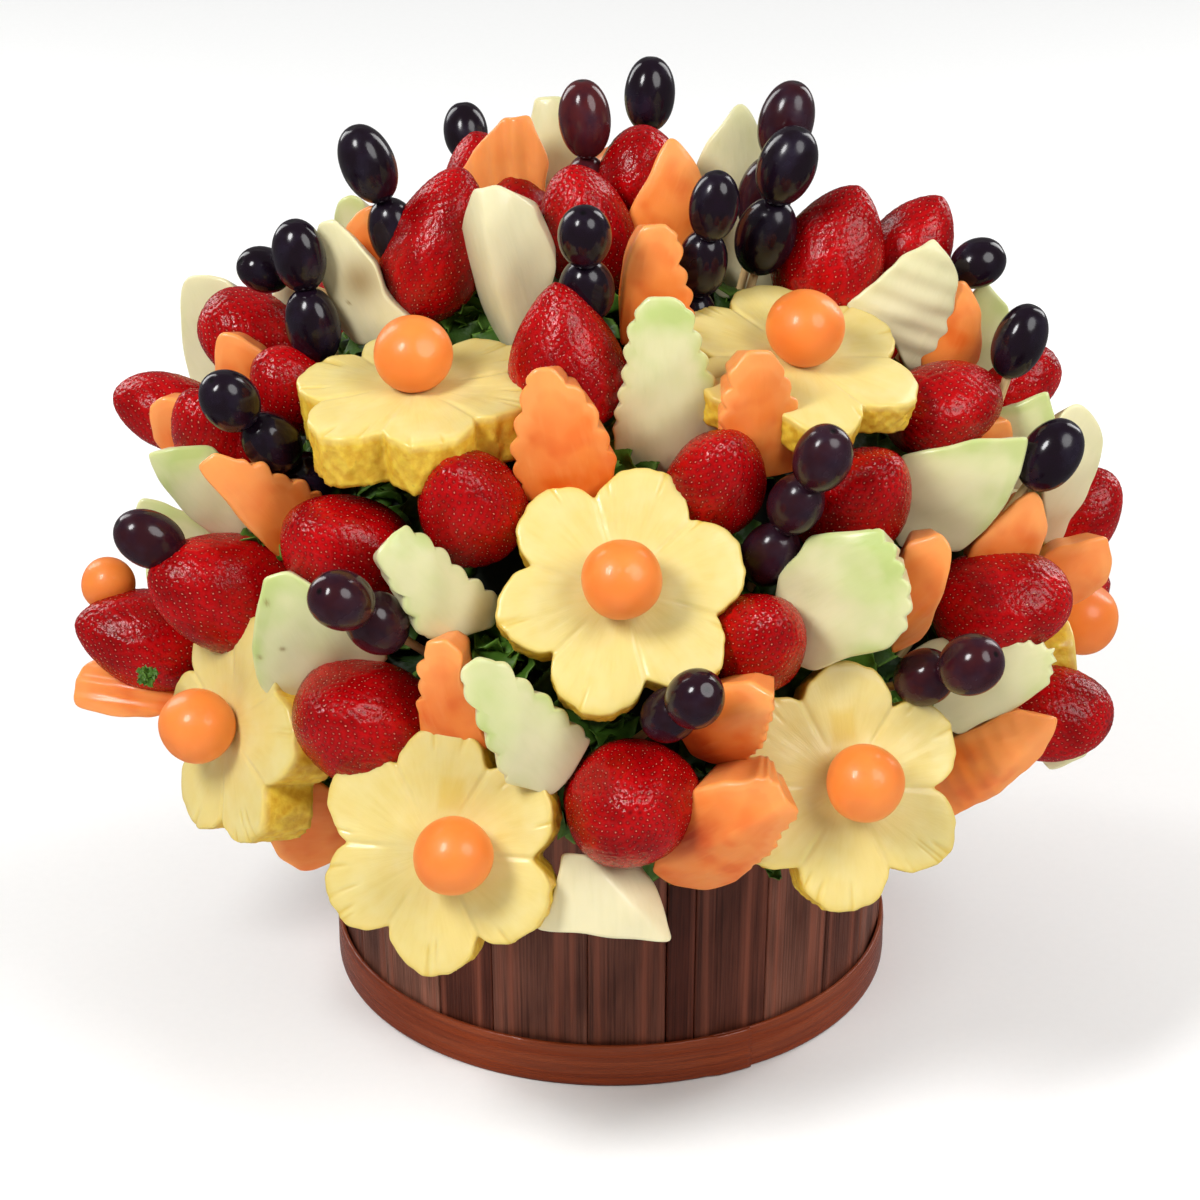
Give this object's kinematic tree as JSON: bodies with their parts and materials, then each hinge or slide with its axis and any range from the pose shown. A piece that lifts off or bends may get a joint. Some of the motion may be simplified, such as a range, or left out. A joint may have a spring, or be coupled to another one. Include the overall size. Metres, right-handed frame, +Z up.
{
  "type": "fruit bouquet",
  "caption": "Dome of cut fruit on skewers, with pineapple flowers, melon slices, strawberries and grapes over greens in a round bamboo-stave basket",
  "frame": {"origin": "middle of the flat underside of the basket, on the ground", "axes": "+Z up along the basket's axis, -Y is the front of the bouquet, +X to its right as seen from the front"},
  "size_m": [0.3671, 0.3758, 0.3376],
  "materials": {
    "pineapple": "moist cut pineapple flesh with a cantaloupe ball, satin",
    "strawberry": "ripe strawberry skin, glossy with pitted seeds",
    "grape_skin": "black grape skin, glossy",
    "honeydew": "moist peeled honeydew flesh, satin",
    "cantaloupe": "moist peeled cantaloupe flesh, satin",
    "greens": "dark curly leaf greens, matt",
    "bamboo_stave": "dark stained bamboo, satin, grain upright",
    "bamboo_hoop": "red-brown stained bamboo band, glossy, grain round the band",
    "rear_fruit": "mixed cut fruit, satin"
  },
  "bodies": {
    "root": {"basket_floor": "bamboo_stave", "basket_hoop": "bamboo_hoop", "basket_staves": "bamboo_stave", "cantaloupe_01": "cantaloupe", "cantaloupe_02": "cantaloupe", "cantaloupe_03": "cantaloupe", "cantaloupe_04": "cantaloupe", "cantaloupe_05": "cantaloupe", "cantaloupe_06": "cantaloupe", "cantaloupe_07": "cantaloupe", "cantaloupe_08": "cantaloupe", "grape_skewer_01": "grape_skin", "grape_skewer_02": "grape_skin", "grape_skewer_03": "grape_skin", "grape_skewer_04": "grape_skin", "grape_skewer_05": "grape_skin", "grape_skewer_06": "grape_skin", "grape_skewer_07": "grape_skin", "grape_skewer_08": "grape_skin", "grape_skewer_09": "grape_skin", "grape_skewer_10": "grape_skin", "grape_skewer_11": "grape_skin", "grape_skewer_12": "grape_skin", "grape_skewer_13": "grape_skin", "grape_skewer_14": "grape_skin", "greens_bed": "greens", "honeydew_01": "honeydew", "honeydew_02": "honeydew", "honeydew_03": "honeydew", "honeydew_04": "honeydew", "honeydew_05": "honeydew", "honeydew_06": "honeydew", "honeydew_07": "honeydew", "honeydew_08": "honeydew", "honeydew_09": "honeydew", "pineapple_flower_01": "pineapple", "pineapple_flower_02": "pineapple", "pineapple_flower_03": "pineapple", "pineapple_flower_04": "pineapple", "pineapple_flower_05": "pineapple", "pineapple_flower_06": "pineapple", "pineapple_flower_07": "pineapple", "rear_fruit": "rear_fruit", "strawberry_01": "strawberry", "strawberry_02": "strawberry", "strawberry_03": "strawberry", "strawberry_04": "strawberry", "strawberry_05": "strawberry", "strawberry_06": "strawberry", "strawberry_07": "strawberry", "strawberry_08": "strawberry", "strawberry_09": "strawberry", "strawberry_10": "strawberry", "strawberry_11": "strawberry", "strawberry_12": "strawberry", "strawberry_13": "strawberry", "strawberry_14": "strawberry", "strawberry_15": "strawberry", "strawberry_16": "strawberry", "strawberry_17": "strawberry"}
  },
  "joints": []
}
